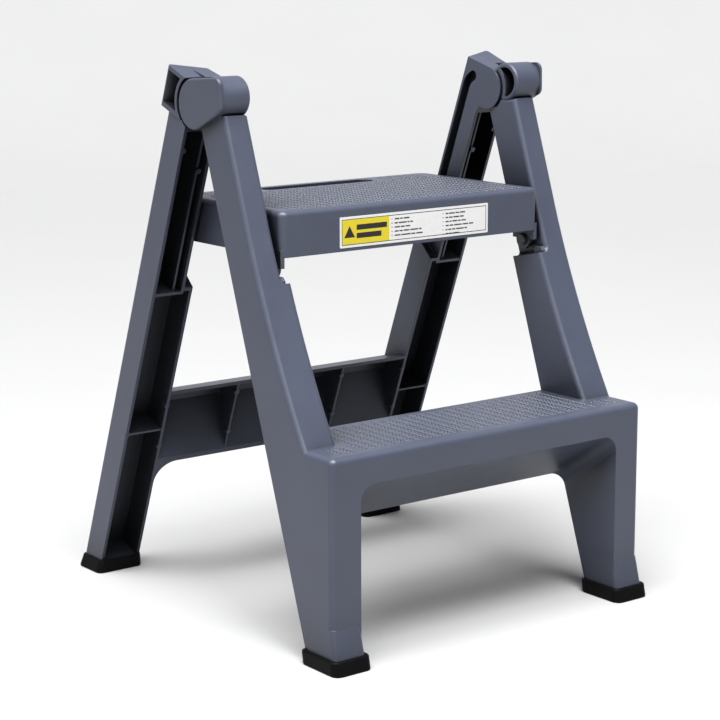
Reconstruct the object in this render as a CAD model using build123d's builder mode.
from build123d import *
import math
import os

# Two-step folding stool in moulded plastic, millimetres.
# X runs across the stool, +Y to the rear, +Z up. The origin is on the floor, midway between the feet.
# The front frame and the rear frame are hinged at the top, and the platform folds up between them.

# whole stool
platform_top = 450.0
step_top = 221.0
hinge_y = -8.0
hinge_z = 556.0
bore_clearance = 0.05

# front frame: a moulded shell, open at its rear plane
front_slope = 0.342          # rearward lean of the rails, mm of Y for each mm of Z
front_foot_y = -194.6        # where the rear plane of the rails meets the floor
rail_depth = 46.4            # depth of a rail measured along Y
rail_outer_x = 213.0
rail_upper_x = 182.0         # inner face above the shoulder
rail_lower_x = 171.0         # inner face below the shoulder
rail_curve_top = 430.0       # below this height the front face bows forward
rail_curve_out = 23.0        # how far it has come forward at the step
shell = 3.6                  # wall of every moulding
rib = 2.6
step_front_y = -235.8
shoulder_y = -85.0
shoulder_z = 372.0
shoulder_slope = -0.2
arch_half = 176.5
arch_front_z = 189.0
arch_rear_z = 131.0
arch_corner = 18.0
step_rib_xs = [29.0, 87.0, 145.0, 173.0]
rail_shelf_heights = [475.0, 425.0, 366.0, 315.0, 265.0, 165.0, 118.0, 72.0]
leg_flare_z = 45.0           # the legs widen from here down to the boots
leg_end_x = 195.0
leg_end_width = 39.0
leg_end_y = -217.0
leg_end_depth = 51.0

# knuckle at the top of each rail
barrel_y = -38.0
barrel_z = 564.0
barrel_radius = 21.5
cap_radius = 26.5
cap_corner_radius = 8.5
cap_corners = [(-51.0, 577.0), (-51.5, 556.5)]      # centres of its front corners
cap_lip = 4.5                # thickness of its squared front
cap_edge = 2.5
barrel_edge = 3.0
barrel_wall = 5.0
cap_inner_x = 201.0
cap_outer_x = 221.0
ear_radius = 24.4
ear_outer_x = 199.4
ear_gap = 2.6                # room around the rear frame's ear
washer_radius = 18.0
washer_clearance = 0.3
hinge_pin_radius = 7.0
hinge_pin_start_x = 185.0
hinge_pin_end_x = 216.0

# rear frame: a moulded shell, open at its front plane
rear_angle = 20.9            # lean of the legs from upright, degrees
leg_front_n = 5.4            # front plane, measured square to the leg from the hinge axis
leg_rear_n = 41.8
leg_outer_x = 220.0
leg_upper_x = 180.0
leg_lower_x = 169.0
leg_edge = 4.0
rear_shoulder_u = 216.0      # distance down the leg from the hinge axis
channel_end_u = 583.0
leg_shelf_us = [408.0]
channel_rib_x = 190.0
post_x = 204.0
post_radius = 7.5
post_height = 24.0
pad_radius = 3.2
panel_top_u = 358.5
panel_top_fall = 20.0        # how much lower its top stands at the rear
panel_bend_u = 397.0
panel_bottom_u = 456.0
panel_corner = 26.0
panel_rib_xs = [76.0]
block_top_u = -20.5
block_bottom_u = 25.0
block_rear_n = 57.0
block_edge = 3.0
pocket_depth = 28.0
slot_n = 32.6
slot_width = 12.0
slot_top_u = 11.3
slot_bottom_u = 199.0
hook_radius = 20.0
hook_turn = 48.0

# platform: a tray, open underneath
platform_half = 176.7
platform_front_y = -102.9
platform_rear_y = 100.7
platform_depth = 48.0
platform_front_corner = 8.0
platform_rear_corner = 15.0
platform_edge = 6.0
platform_rib_xs = [-118.0, -59.0, 0.0, 59.0, 118.0]
platform_rib_ys = [-52.0, 0.0, 52.0]
pivot_y = -84.0
pivot_z = 390.0
pivot_pin_radius = 4.0
pivot_head_radius = 6.5
pivot_head_height = 3.3
head_clearance = 0.3
pivot_pin_length = 24.0
pivot_ring_radius = 8.0
pivot_ring_thickness = 1.4
pivot_bore_depth = 12.0      # from the rail's inner face
platform_ear_front = -101.3
platform_ear_rear = -67.0
platform_ear_bottom = 391.0
platform_ear_radius = 11.0   # round the pivot
ear_thickness = 5.0
handle_half = 77.0
handle_y = 74.5
handle_width = 23.0
guide_u = 197.5              # where the guide pins stand at rest, down the rear legs
guide_pin_radius = 4.2
shoe_start_x = 184.1
shoe_end_x = 188.6
shoe_width = 12.0
shoe_length = 17.0

# boots
boot_height = 15.0
boot_floor = 5.0
boot_rim = 1.8
front_boot_width = 48.0
front_boot_base = (-218.75, 62.5)      # middle in Y and depth, on the floor
front_boot_top = (-216.0, 60.0)
rear_boot_x = 196.25
rear_boot_width = 60.5
rear_boot_y = 225.25
rear_boot_depth = 49.5

# label
label_z = 422.0
label_width = 204.0
label_height = 32.6
label_thickness = 0.4

lean = math.radians(rear_angle)
arch_slope = (arch_rear_z - arch_front_z) / (front_foot_y + front_slope * arch_rear_z - step_front_y)


def rear_plane_y(z):
    """Y of the front frame's rear plane at a height."""
    return front_foot_y + front_slope * z


def rail_front_y(z):
    """Y of a rail's front face, straight above and bowed forward towards the step."""
    drop = max(0.0, rail_curve_top - z) / (rail_curve_top - step_top)
    return rear_plane_y(z) - rail_depth - rail_curve_out * drop ** 2


def shoulder_height(y):
    """Height of the sloping shoulder on the rails."""
    return shoulder_z + shoulder_slope * (y - shoulder_y)


def leg_point(u, n):
    """Y and Z of a point u down the rear leg from the hinge axis and n square to it."""
    y = hinge_y + u * math.sin(lean) + n * math.cos(lean)
    z = hinge_z - u * math.cos(lean) + n * math.sin(lean)
    return (y, z)


def leg_y(z, n):
    """Y at a height, on the line that runs down the rear leg at n."""
    return hinge_y + (hinge_z - z) * math.tan(lean) + n / math.cos(lean)


def side_plane(x):
    """Plane square to X whose sketch axes are Y and Z."""
    return Plane(origin=(x, 0, 0), x_dir=(0, 1, 0), z_dir=(1, 0, 0))


def leg_plane(x):
    """Plane square to X whose sketch axes are n and the distance up the rear leg."""
    return Plane(
        origin=(x, hinge_y, hinge_z),
        x_dir=(0, math.cos(lean), math.sin(lean)),
        z_dir=(1, 0, 0),
    )


def plate(plane, points, thickness, mode=Mode.ADD):
    """Adds or cuts a flat plate with a straight-sided outline in the open part."""
    with BuildSketch(plane) as outline:
        with BuildLine():
            Polyline(*points, close=True)
        make_face()
    extrude(outline.sketch, amount=thickness, mode=mode)


def edges_on(part, x, low_z, high_z, test):
    """Edges lying in the plane X = x, between two heights, whose middle passes a test."""
    found = []
    for edge in part.edges():
        box = edge.bounding_box()
        flat = abs(box.min.X - x) < 0.01 and abs(box.max.X - x) < 0.01
        if flat and box.min.Z > low_z and box.max.Z < high_z and test(edge @ 0.5):
            found.append(edge)
    return found


def save(part, name):
    part.label = name
    export_step(part, "parts/" + name + ".step")


os.makedirs("parts", exist_ok=True)

# ---- front frame: rails, first step and front legs in one moulding ----

rail_top_z = 546.0
rail_low_z = 195.0
rail_edge = 5.0
step_edge_radius = 7.0
section_heights = [rail_low_z + (rail_curve_top - rail_low_z) * i / 6 for i in range(7)]


def front_edges(part, x):
    """Long edges down the front of a rail, in the plane X = x."""
    found = edges_on(part, x, rail_low_z - 1, 600, lambda p: p.Y < rear_plane_y(p.Z) - rail_depth / 2)
    return [e for e in found if e.length > 30]


def step_edge(edge):
    """True on the step's top front edge and on the edges of its end, down to the floor."""
    box = edge.bounding_box()
    along_front = abs(box.max.Y - step_front_y) < 0.01 and abs(box.min.Y - step_front_y) < 0.01
    top = along_front and abs(box.min.Z - step_top) < 0.01
    corner = along_front and abs(box.min.X - rail_outer_x) < 0.01
    end = abs(box.min.X - rail_outer_x) < 0.01 and abs(box.min.Z - step_top) < 0.01
    return top or corner or end


with BuildPart() as front_frame:
    # rail, with its lower end inside the step
    with BuildSketch(side_plane(rail_lower_x)):
        with BuildLine():
            Polyline(
                (rail_front_y(rail_top_z), rail_top_z),
                (rear_plane_y(rail_top_z), rail_top_z),
                (rear_plane_y(rail_low_z), rail_low_z),
                (rail_front_y(rail_low_z), rail_low_z),
            )
            Spline(*[(rail_front_y(z), z) for z in section_heights])
            bow_start = (rail_front_y(rail_curve_top), rail_curve_top)
            Line(bow_start, (rail_front_y(rail_top_z), rail_top_z))
        make_face()
    extrude(amount=rail_outer_x - rail_lower_x)
    fillet(front_edges(front_frame.part, rail_outer_x), radius=rail_edge)
    fillet(front_edges(front_frame.part, rail_lower_x), radius=rail_edge)

    # the rail narrows above its shoulder
    plate(
        side_plane(rail_lower_x - 1),
        [(-200, shoulder_height(-200)), (100, shoulder_height(100)), (100, 600), (-200, 600)],
        rail_upper_x - rail_lower_x + 1,
        Mode.SUBTRACT,
    )
    fillet(front_edges(front_frame.part, rail_upper_x), radius=rail_edge)

    # end of the step and front leg
    plate(
        side_plane(rail_lower_x),
        [
            (step_front_y, step_top),
            (rear_plane_y(step_top), step_top),
            (rear_plane_y(0), 0),
            (step_front_y, 0),
        ],
        rail_outer_x - rail_lower_x,
    )
    # step, from the middle of the stool to the side member
    step_low_z = 95.0
    plate(
        side_plane(0),
        [
            (step_front_y, step_top),
            (rear_plane_y(step_top), step_top),
            (rear_plane_y(step_low_z), step_low_z),
            (step_front_y, step_low_z),
        ],
        rail_lower_x,
    )
    fillet([e for e in front_frame.part.edges() if step_edge(e)], radius=step_edge_radius)

    # the arch between the legs, cut down and back along the slope of the step's underside
    arch_lead = 20.0
    arch_top = arch_front_z - arch_slope * arch_lead
    with BuildSketch(Plane.XZ.offset(arch_lead - step_front_y)):
        with Locations((0, arch_top - 200)):
            RectangleRounded(2 * arch_half, 400, arch_corner)
    extrude(amount=260, dir=(0, 1, arch_slope), mode=Mode.SUBTRACT)

    # legs end inside the boots, and widen a little above them
    with Locations((0, leg_end_y, 0)):
        Box(600, 200, 2 * boot_height, mode=Mode.SUBTRACT)
    with BuildSketch(Plane.XY.offset(leg_flare_z)):
        with Locations(((arch_half + rail_outer_x) / 2, (step_front_y + rear_plane_y(leg_flare_z)) / 2)):
            RectangleRounded(rail_outer_x - arch_half, rear_plane_y(leg_flare_z) - step_front_y, 5)
    with BuildSketch(Plane.XY.offset(boot_height)):
        with Locations((leg_end_x, leg_end_y)):
            RectangleRounded(leg_end_width, leg_end_depth, 5)
    loft()
    with BuildSketch(Plane.XY):
        with Locations((leg_end_x, leg_end_y)):
            RectangleRounded(leg_end_width, leg_end_depth, 5)
    extrude(amount=boot_height)

    # hollow from behind: upper rail, lower rail, step and leg
    high = rail_top_z - 34
    low = shoulder_z + 3
    cavity_heights = [low + (high - low) * i / 4 for i in range(5)]
    front_wall = [(rail_front_y(z) + shell, z) for z in cavity_heights]
    behind = rear_plane_y(high) + 30
    plate(
        side_plane(rail_upper_x + shell),
        front_wall + [(behind, high), (behind, low)],
        rail_outer_x - rail_upper_x - 2 * shell,
        Mode.SUBTRACT,
    )
    high = shoulder_z - 6
    low = step_top - shell - 5
    cavity_heights = [low + (high - low) * i / 6 for i in range(7)]
    front_wall = [(rail_front_y(z) + shell, z) for z in cavity_heights]
    plate(
        side_plane(rail_lower_x + shell),
        front_wall + [(behind, high), (behind, low)],
        rail_outer_x - rail_lower_x - 2 * shell,
        Mode.SUBTRACT,
    )
    inside_y = step_front_y + shell
    under_z = arch_front_z + 1.25 * shell + arch_slope * shell
    plate(
        side_plane(0),
        [
            (inside_y, step_top - shell),
            (behind, step_top - shell),
            (behind, under_z + arch_slope * (behind - inside_y)),
            (inside_y, under_z),
        ],
        rail_outer_x - shell,
        Mode.SUBTRACT,
    )
    plate(
        side_plane(arch_half + shell),
        [
            (inside_y, step_top - 20),
            (behind, step_top - 20),
            (behind, boot_height),
            (inside_y, boot_height),
        ],
        rail_outer_x - arch_half - 2 * shell,
        Mode.SUBTRACT,
    )

    # ribs across the step, standing back a little from the rear plane
    for x in step_rib_xs:
        plate(
            side_plane(x - rib / 2),
            [
                (inside_y, step_top - shell),
                (rear_plane_y(step_top) - rib, step_top - shell),
                (rear_plane_y(arch_rear_z) - rib, arch_rear_z + shell),
                (inside_y, under_z),
            ],
            rib,
        )
    # shelves across the rails and legs
    for z in rail_shelf_heights:
        inner_x = rail_upper_x if z > shoulder_z else rail_lower_x
        front_y = rail_front_y(z) + shell - 1 if z > step_top else inside_y - 1
        if z < step_top:
            inner_x = arch_half
        plate(
            side_plane(inner_x + shell - 1),
            [
                (front_y, z + rib),
                (rear_plane_y(z) - 1, z + rib),
                (rear_plane_y(z) - 1, z),
                (front_y, z),
            ],
            rail_outer_x - inner_x - 2 * shell + 2,
        )

    # stop lug on the shoulder, beside the platform
    lug_rear = shoulder_y - 12
    lug_front = lug_rear - 14
    lug_root = shoulder_height(lug_rear) - 3
    plate(
        side_plane(platform_half + 0.8),
        [
            (lug_rear, lug_root),
            (lug_rear, lug_root + 12),
            (lug_front + 4, lug_root + 12),
            (lug_front, lug_root + 8),
            (lug_front, lug_root),
        ],
        6,
    )

    # knuckle: a cap on the outside and a barrel in front of the hinge
    with BuildSketch(side_plane(cap_inner_x)):
        with Locations((hinge_y, hinge_z)):
            Circle(cap_radius)
        with Locations((barrel_y, barrel_z)):
            Circle(barrel_radius)
        make_hull()
    extrude(amount=cap_outer_x - cap_lip - cap_inner_x)
    with BuildSketch(side_plane(cap_outer_x - cap_lip)):
        with Locations((hinge_y, hinge_z)):
            Circle(cap_radius)
        with Locations(*cap_corners):
            Circle(cap_corner_radius)
        make_hull()
    extrude(amount=cap_lip)
    cap_rim = edges_on(front_frame.part, cap_outer_x, 500, 600, lambda p: True)
    fillet(cap_rim, radius=cap_edge)
    with BuildSketch(Plane(origin=(rail_upper_x, barrel_y, barrel_z), x_dir=(1, 0, 0), z_dir=(0, 1, 0))):
        with BuildLine():
            Polyline(
                (cap_inner_x - rail_upper_x, 0),
                (0, 0),
                (0, barrel_radius - barrel_edge),
            )
            RadiusArc((0, barrel_radius - barrel_edge), (barrel_edge, barrel_radius), barrel_edge)
            Polyline(
                (barrel_edge, barrel_radius),
                (cap_inner_x - rail_upper_x, barrel_radius),
                (cap_inner_x - rail_upper_x, 0),
            )
        make_face()
    revolve(axis=Axis((rail_upper_x, barrel_y, barrel_z), (1, 0, 0)))
    with BuildSketch(side_plane(rail_upper_x - 15)):
        with Locations((hinge_y, hinge_z)):
            Circle(ear_radius + ear_gap)
    extrude(amount=cap_inner_x - rail_upper_x + 15, mode=Mode.SUBTRACT)
    # crescent pocket in the inner end of the barrel
    with BuildSketch(side_plane(rail_upper_x)):
        with Locations((barrel_y, barrel_z)):
            Circle(barrel_radius - barrel_wall)
        with Locations((hinge_y, hinge_z)):
            Circle(ear_radius + ear_gap + barrel_wall, mode=Mode.SUBTRACT)
    extrude(amount=cap_outer_x - rail_upper_x - 9, mode=Mode.SUBTRACT)
    # blind seat for the hinge pin and bore for the platform's pivot pin
    with BuildSketch(side_plane(cap_inner_x)):
        with Locations((hinge_y, hinge_z)):
            Circle(hinge_pin_radius)
    extrude(amount=hinge_pin_end_x - cap_inner_x, mode=Mode.SUBTRACT)
    with BuildSketch(side_plane(rail_upper_x)):
        with Locations((pivot_y, pivot_z)):
            Circle(pivot_ring_radius + 1)
    extrude(amount=pivot_ring_radius)
    with BuildSketch(side_plane(rail_upper_x)):
        with Locations((pivot_y, pivot_z)):
            Circle(pivot_pin_radius)
    extrude(amount=pivot_bore_depth, mode=Mode.SUBTRACT)

    # the boots' own floor is under the legs
    with Locations((0, 0, boot_floor - 50)):
        Box(600, 700, 100, mode=Mode.SUBTRACT)
    mirror(about=Plane.YZ)

save(front_frame.part, "front_frame")

# ---- rear frame: two legs and a cross panel in one moulding ----

foot_u = (hinge_z + leg_rear_n * math.sin(lean)) / math.cos(lean)
web_n = leg_rear_n - shell
pad_places = [
    (channel_rib_x + rib / 2, 82),
    (leg_outer_x - shell - 1, 57),
    (leg_lower_x + shell / 2, 378),
    (leg_lower_x + shell / 2, 432),
    (leg_outer_x - shell / 2 - 1, 409),
    (panel_rib_xs[0], 374),
    (panel_rib_xs[0], 428),
]


def leg_plate(x, points, thickness, mode=Mode.ADD):
    """Plate square to X whose outline is given as (u, n) points of the rear leg."""
    plate(leg_plane(x), [(n, -u) for u, n in points], thickness, mode)


def leg_box(x0, x1, u0, u1, n0, n1, mode=Mode.ADD):
    """Block between two stations down the rear leg."""
    leg_plate(x0, [(u0, n0), (u1, n0), (u1, n1), (u0, n1)], x1 - x0, mode)


def leg_cross_plane(u):
    """Plane square to the rear leg whose sketch axes are X and n, facing up the leg."""
    return Plane(
        origin=(0, *leg_point(u, 0)),
        x_dir=(1, 0, 0),
        z_dir=(0, -math.sin(lean), math.cos(lean)),
    )


def leg_front_plane(n):
    """Plane parallel to the legs' front plane whose sketch axes are X and u, facing the rear."""
    return Plane(
        origin=(0, *leg_point(0, n)),
        x_dir=(1, 0, 0),
        z_dir=(0, math.cos(lean), math.sin(lean)),
    )


with BuildPart() as rear_frame:
    # leg, wider below the shoulder
    leg_box(leg_upper_x, leg_outer_x, 20, foot_u, leg_front_n, leg_rear_n)
    outer_edges = edges_on(
        rear_frame.part, leg_outer_x, -60, 600, lambda p: p.Y > leg_y(p.Z, leg_rear_n) - 1
    )
    fillet([e for e in outer_edges if e.length > 300], radius=leg_edge)
    leg_plate(
        leg_lower_x,
        [
            (rear_shoulder_u + 8, leg_front_n),
            (rear_shoulder_u - 8, leg_rear_n),
            (foot_u, leg_rear_n),
            (foot_u, leg_front_n),
        ],
        leg_upper_x - leg_lower_x + 1,
    )
    # cross panel, from the middle of the stool to the leg, its top falling to the rear
    panel_low_u = panel_bottom_u + 60
    leg_plate(
        0,
        [
            (panel_top_u, leg_front_n),
            (panel_top_u + panel_top_fall, leg_rear_n),
            (panel_low_u, leg_rear_n),
            (panel_low_u, leg_front_n),
        ],
        leg_lower_x + 1,
    )
    # sloping underside with round corners into the legs
    under_slope = (panel_bottom_u - panel_bend_u) / (leg_rear_n - leg_front_n)
    lead = 20.0
    with BuildSketch(
        Plane(
            origin=(0, *leg_point(panel_bottom_u + under_slope * lead, leg_front_n - lead)),
            x_dir=(1, 0, 0),
            z_dir=(0, -math.cos(lean), -math.sin(lean)),
        )
    ):
        with Locations((0, -100)):
            RectangleRounded(2 * leg_lower_x, 200, panel_corner)
    under_dir = Vector(0, *leg_point(-under_slope, 1)) - Vector(0, *leg_point(0, 0))
    extrude(amount=lead + 240, dir=tuple(under_dir.normalized()), mode=Mode.SUBTRACT)

    # channels open to the front
    leg_box(
        leg_upper_x + shell, leg_outer_x - shell, 34, channel_end_u, leg_front_n - 30, web_n, Mode.SUBTRACT
    )
    leg_box(
        leg_lower_x + shell, leg_upper_x + shell + 1, rear_shoulder_u + 12, channel_end_u,
        leg_front_n - 30, web_n, Mode.SUBTRACT,
    )
    # the panel is a trough, open to the front
    trough_top_u = panel_top_u + 1.25 * shell
    trough_bottom_u = panel_bottom_u - 1.7 * shell
    web_fall = panel_top_fall * (web_n - leg_front_n) / (leg_rear_n - leg_front_n)
    leg_plate(
        0,
        [
            (trough_top_u, leg_front_n - 30),
            (trough_top_u, leg_front_n),
            (trough_top_u + web_fall, web_n),
            (panel_bend_u - shell, web_n),
            (trough_bottom_u, leg_front_n),
            (trough_bottom_u, leg_front_n - 30),
        ],
        leg_lower_x,
        Mode.SUBTRACT,
    )
    for x in panel_rib_xs:
        leg_plate(
            x - rib / 2,
            [
                (trough_top_u - 1, leg_front_n + 1),
                (trough_top_u + web_fall - 1, web_n + 0.5),
                (panel_bend_u - 3, web_n + 0.5),
                (trough_bottom_u + 1, leg_front_n + 1),
            ],
            rib,
        )
    # shelves across the legs, and the rib beside the guide track
    for u in leg_shelf_us:
        leg_box(leg_lower_x + 1, leg_outer_x - 1, u, u + rib, leg_front_n + 1, web_n + 1)
    leg_box(channel_rib_x, channel_rib_x + rib, 30, rear_shoulder_u + 13, leg_front_n + 4, web_n + 1)
    leg_box(leg_upper_x, leg_outer_x - 1, rear_shoulder_u + 12, rear_shoulder_u + 12 + shell,
            leg_front_n + 0.5, web_n + 1)

    # post that stands on the shoulder shelf, and round pads on the edges of the ribs and walls
    with BuildSketch(leg_cross_plane(rear_shoulder_u + 14)):
        with Locations((post_x, web_n - post_radius + 2)):
            Circle(post_radius)
    extrude(amount=post_height)
    for x, u in pad_places:
        with BuildSketch(leg_front_plane(leg_front_n + 0.6)):
            with Locations((x, u)):
                Circle(pad_radius)
        extrude(amount=5)

    # ear on the inner side of the hinge, with the plate behind it
    with BuildSketch(leg_plane(leg_upper_x)):
        Circle(ear_radius)
        with BuildLine():
            Polyline(
                (0, ear_radius),
                (leg_rear_n, -block_top_u),
                (leg_rear_n, -34),
                (leg_front_n, -34),
                (2, -20),
                close=True,
            )
        make_face()
    extrude(amount=ear_outer_x - leg_upper_x)
    # hollow block behind the cap, its rear face running outwards and back
    with BuildSketch(leg_cross_plane(block_bottom_u)) as block:
        with BuildLine():
            Polyline(
                (ear_outer_x - 2, 16),
                (cap_outer_x, 16),
                (cap_outer_x, block_rear_n),
                (leg_upper_x, leg_rear_n),
                (leg_upper_x, leg_rear_n - 4),
                (ear_outer_x - 2, leg_rear_n - 4),
                close=True,
            )
        make_face()
        fillet(block.vertices().sort_by(Axis.Y)[-1], radius=block_edge)
    extrude(amount=block_bottom_u - block_top_u)
    # pocket in the block, open outwards, with a curved wall between it and the cap
    pocket_x = cap_outer_x - pocket_depth
    block_slant = (block_rear_n - leg_rear_n) / (cap_outer_x - leg_upper_x)
    pocket_rear_n = leg_rear_n + block_slant * (pocket_x - leg_upper_x)
    with BuildSketch(leg_cross_plane(block_bottom_u - 5)):
        with BuildLine():
            Polyline(
                (pocket_x, 10),
                (cap_outer_x + 1, 10),
                (cap_outer_x + 1, block_rear_n - 4.4),
                (pocket_x, pocket_rear_n - 4.8),
                close=True,
            )
        make_face()
    extrude(amount=block_bottom_u - 5 - block_top_u - 4.5, mode=Mode.SUBTRACT)
    with BuildSketch(leg_plane(ear_outer_x)):
        Circle(cap_radius + ear_gap + 4)
        with Locations((30, -(block_top_u + block_bottom_u) / 2)):
            Rectangle(28, block_bottom_u - block_top_u, mode=Mode.INTERSECT)
    extrude(amount=cap_outer_x - ear_outer_x)
    with BuildSketch(leg_plane(ear_outer_x)):
        Circle(cap_radius + ear_gap)
    extrude(amount=40, mode=Mode.SUBTRACT)

    # guide track in the inner wall, hooked forward at its top
    with BuildSketch(leg_plane(leg_upper_x - 5)):
        with Locations((slot_n, -(slot_top_u + slot_bottom_u) / 2)):
            Rectangle(slot_width, slot_bottom_u - slot_top_u)
        with Locations((slot_n, -slot_bottom_u)):
            Circle(slot_width / 2)
        with BuildLine(mode=Mode.PRIVATE):
            hook = CenterArc((slot_n - hook_radius, -slot_top_u), hook_radius, 0, hook_turn)
        SlotArc(hook, slot_width)
    extrude(amount=5 + shell + 6, mode=Mode.SUBTRACT)
    # room behind the track for the guide shoe
    leg_box(leg_upper_x + shell, shoe_end_x + 1, -9, 36, slot_n - 9, web_n, Mode.SUBTRACT)
    # blind seat for the hinge pin
    with BuildSketch(leg_plane(hinge_pin_start_x)):
        Circle(hinge_pin_radius + bore_clearance)
    extrude(amount=30, mode=Mode.SUBTRACT)

    with Locations((0, 0, boot_floor - 50)):
        Box(600, 700, 100, mode=Mode.SUBTRACT)
    mirror(about=Plane.YZ)

save(rear_frame.part, "rear_frame")

# ---- platform: the upper step, with its ears, arms and handle slot ----

platform_mid_y = (platform_front_y + platform_rear_y) / 2
platform_long = platform_rear_y - platform_front_y
apron_bottom = platform_top - platform_depth
guide_y, guide_z = leg_point(guide_u, slot_n)
ear_inner_x = platform_half - ear_thickness
ear_height = apron_bottom + 8 - platform_ear_bottom
ear_mid_y = (platform_ear_front + platform_ear_rear) / 2

with BuildPart() as platform:
    with BuildSketch(Plane.XY.offset(apron_bottom)) as outside:
        with Locations((0, platform_mid_y)):
            Rectangle(2 * platform_half, platform_long)
        fillet(outside.vertices().group_by(Axis.Y)[0], radius=platform_front_corner)
        fillet(outside.vertices().group_by(Axis.Y)[-1], radius=platform_rear_corner)
    extrude(amount=platform_depth)
    fillet(platform.faces().sort_by(Axis.Z)[-1].edges(), radius=platform_edge)
    with BuildSketch(Plane.XY.offset(apron_bottom)) as inside:
        with Locations((0, platform_mid_y)):
            Rectangle(2 * (platform_half - shell), platform_long - 2 * shell)
        fillet(inside.vertices().group_by(Axis.Y)[0], radius=platform_front_corner - shell)
        fillet(inside.vertices().group_by(Axis.Y)[-1], radius=platform_rear_corner - shell)
    extrude(amount=platform_depth - shell, mode=Mode.SUBTRACT)
    # ribs underneath, clear of the handle slot
    rib_depth = platform_depth - shell - 6
    for x in platform_rib_xs:
        with Locations((x, platform_mid_y, platform_top - shell - rib_depth / 2 + 0.2)):
            Box(rib, platform_long - 2, rib_depth)
    for y in platform_rib_ys:
        with Locations((0, y, platform_top - shell - rib_depth / 2 + 0.2)):
            Box(2 * platform_half - 2, rib, rib_depth)
    # handle slot with a wall round it
    with BuildSketch(Plane.XY.offset(apron_bottom + 14)):
        with Locations((0, handle_y)):
            SlotCenterToCenter(2 * handle_half - handle_width, handle_width + 2 * shell)
    extrude(amount=platform_depth - 14 - 0.5)
    with BuildSketch(Plane.XY.offset(apron_bottom - 1)):
        with Locations((0, handle_y)):
            SlotCenterToCenter(2 * handle_half - handle_width, handle_width)
    extrude(amount=platform_depth + 2, mode=Mode.SUBTRACT)
    for side in (-1, 1):
        # ear at the front, round the pivot pin, with a boss that reaches towards the rail
        x = ear_inner_x if side > 0 else -platform_half
        with BuildSketch(side_plane(x)) as ear:
            with Locations((pivot_y, pivot_z)):
                Circle(platform_ear_radius)
            with Locations((ear_mid_y, platform_ear_bottom + ear_height / 2)):
                Rectangle(platform_ear_rear - platform_ear_front, ear_height)
        extrude(ear.sketch, amount=ear_thickness)
        # arm at the rear, down to the guide pin
        plate(
            side_plane(x),
            [
                (guide_y - 20, apron_bottom + 4),
                (guide_y - 9, guide_z),
                (guide_y - 5, guide_z - 7),
                (guide_y + 4, guide_z - 7),
                (guide_y + 4.6, apron_bottom + 4),
            ],
            ear_thickness,
        )
        with BuildSketch(side_plane(side * (platform_half - 1))) as boss:
            with Locations((pivot_y, pivot_z)):
                Circle(pivot_ring_radius)
        extrude(boss.sketch, amount=side * (rail_upper_x - platform_half + 0.6))
        with BuildSketch(side_plane(side * (ear_inner_x - 10))) as bore:
            with Locations((pivot_y, pivot_z)):
                Circle(pivot_pin_radius + bore_clearance)
        extrude(bore.sketch, amount=side * 30, mode=Mode.SUBTRACT)
        with BuildSketch(side_plane(side * (ear_inner_x - 1))) as seat:
            with Locations((guide_y, guide_z)):
                Circle(guide_pin_radius + 0.3)
        extrude(seat.sketch, amount=side * 8, mode=Mode.SUBTRACT)
save(platform.part, "platform")

# ---- pins, washers, shoes and boots, one of each on either side ----

rear_boot_top_front = leg_y(boot_height, leg_front_n) - 3
rear_boot_top_rear = leg_y(boot_height, leg_rear_n) + 2

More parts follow.
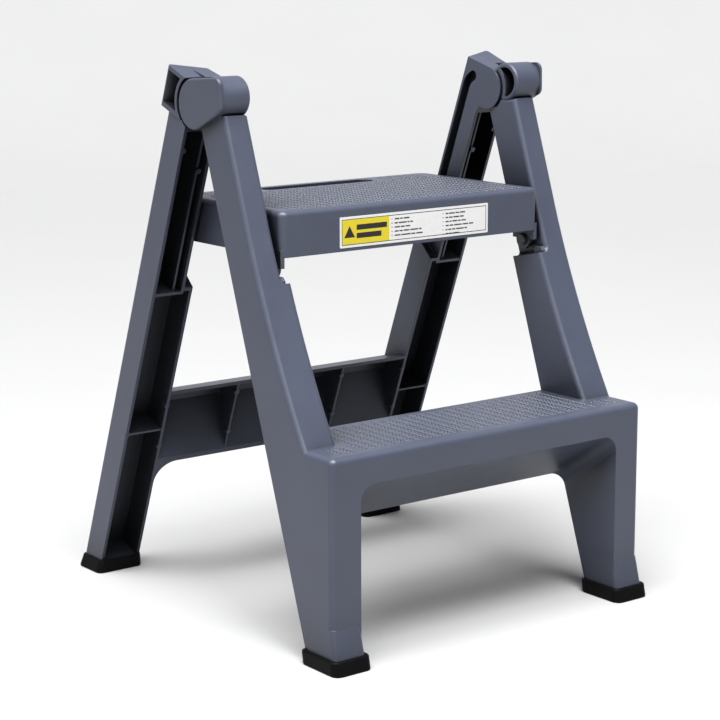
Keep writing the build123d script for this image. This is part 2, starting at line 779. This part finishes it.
for name, side in (("left", -1), ("right", 1)):
    with BuildPart() as hinge_pin:
        with BuildSketch(side_plane(side * (hinge_pin_start_x + 0.4))):
            with Locations((hinge_y, hinge_z)):
                Circle(hinge_pin_radius)
        extrude(amount=side * (hinge_pin_end_x - hinge_pin_start_x - 0.4))
        chamfer(hinge_pin.edges().filter_by(GeomType.CIRCLE), length=1)
    save(hinge_pin.part, "hinge_pin_" + name)

    with BuildPart() as hinge_washer:
        with BuildSketch(side_plane(side * (ear_outer_x + washer_clearance))):
            with Locations((hinge_y, hinge_z)):
                Circle(washer_radius)
                Circle(hinge_pin_radius + bore_clearance, mode=Mode.SUBTRACT)
        extrude(amount=side * (cap_inner_x - ear_outer_x - 2 * washer_clearance))
    save(hinge_washer.part, "hinge_washer_" + name)

    with BuildPart() as pivot_pin:
        with BuildSketch(side_plane(side * (ear_inner_x - pivot_head_height - head_clearance))):
            with Locations((pivot_y, pivot_z)):
                Circle(pivot_head_radius)
        extrude(amount=side * pivot_head_height)
        with BuildSketch(side_plane(side * (ear_inner_x - 1))):
            with Locations((pivot_y, pivot_z)):
                Circle(pivot_pin_radius)
        extrude(amount=side * pivot_pin_length)
        pin_circles = pivot_pin.edges().filter_by(GeomType.CIRCLE).sort_by(Axis.X)
        chamfer(pin_circles[0 if side > 0 else -1], length=1)
    save(pivot_pin.part, "platform_pin_" + name)

    with BuildPart() as pivot_ring:
        with BuildSketch(side_plane(side * (rail_upper_x + 8))):
            with Locations((pivot_y, pivot_z)):
                Circle(pivot_ring_radius)
                Circle(pivot_pin_radius, mode=Mode.SUBTRACT)
        extrude(amount=side * pivot_ring_thickness)
    save(pivot_ring.part, "platform_pin_ring_" + name)

    with BuildPart() as guide_pin:
        with BuildSketch(side_plane(side * (platform_half + 0.4))):
            with Locations((guide_y, guide_z)):
                Circle(guide_pin_radius)
        extrude(amount=side * (shoe_end_x - platform_half - 0.4))
    save(guide_pin.part, "guide_pin_" + name)

    with BuildPart() as guide_shoe:
        start = shoe_start_x if side > 0 else -shoe_end_x
        with BuildSketch(leg_plane(start)):
            with Locations((slot_n - 1.6, -guide_u)):
                RectangleRounded(shoe_width, shoe_length, 3)
            with Locations((slot_n, -guide_u)):
                Circle(guide_pin_radius, mode=Mode.SUBTRACT)
        extrude(amount=shoe_end_x - shoe_start_x)
    save(guide_shoe.part, "guide_shoe_" + name)

    with BuildPart() as front_boot:
        with BuildSketch(Plane.XY):
            with Locations((side * leg_end_x, front_boot_base[0])):
                RectangleRounded(front_boot_width, front_boot_base[1], 9)
        with BuildSketch(Plane.XY.offset(boot_height)):
            with Locations((side * leg_end_x, front_boot_top[0])):
                RectangleRounded(front_boot_width, front_boot_top[1], 8)
        loft()
        fillet(front_boot.faces().sort_by(Axis.Z)[-1].edges(), radius=boot_rim)
        fillet(front_boot.faces().sort_by(Axis.Z)[0].edges(), radius=boot_rim)
        with BuildSketch(Plane.XY.offset(boot_floor)):
            with Locations((side * leg_end_x, leg_end_y)):
                Rectangle(leg_end_width, leg_end_depth)
        extrude(amount=boot_height, mode=Mode.SUBTRACT)
    save(front_boot.part, "foot_front_" + name)

    with BuildPart() as rear_boot:
        with BuildSketch(Plane.XY):
            with Locations((side * rear_boot_x, rear_boot_y)):
                RectangleRounded(rear_boot_width, rear_boot_depth, 8)
        with BuildSketch(Plane.XY.offset(boot_height)):
            with Locations((side * (rear_boot_x - 1.5), (rear_boot_top_front + rear_boot_top_rear) / 2)):
                RectangleRounded(rear_boot_width - 5, rear_boot_top_rear - rear_boot_top_front, 6)
        loft()
        fillet(rear_boot.faces().sort_by(Axis.Z)[0].edges(), radius=boot_rim)
        plate(
            side_plane(leg_lower_x if side > 0 else -leg_outer_x),
            [
                (leg_y(boot_floor, leg_front_n), boot_floor),
                (leg_y(boot_floor, leg_rear_n), boot_floor),
                (leg_y(3 * boot_height, leg_rear_n), 3 * boot_height),
                (leg_y(3 * boot_height, leg_front_n), 3 * boot_height),
            ],
            leg_outer_x - leg_lower_x,
            Mode.SUBTRACT,
        )
    save(rear_boot.part, "foot_rear_" + name)

# ---- label on the platform's apron ----

with BuildPart() as label:
    with BuildSketch(Plane.XZ.offset(-platform_front_y)):
        with Locations((0, label_z)):
            RectangleRounded(label_width, label_height, 1)
    extrude(amount=label_thickness)
save(label.part, "safety_label")
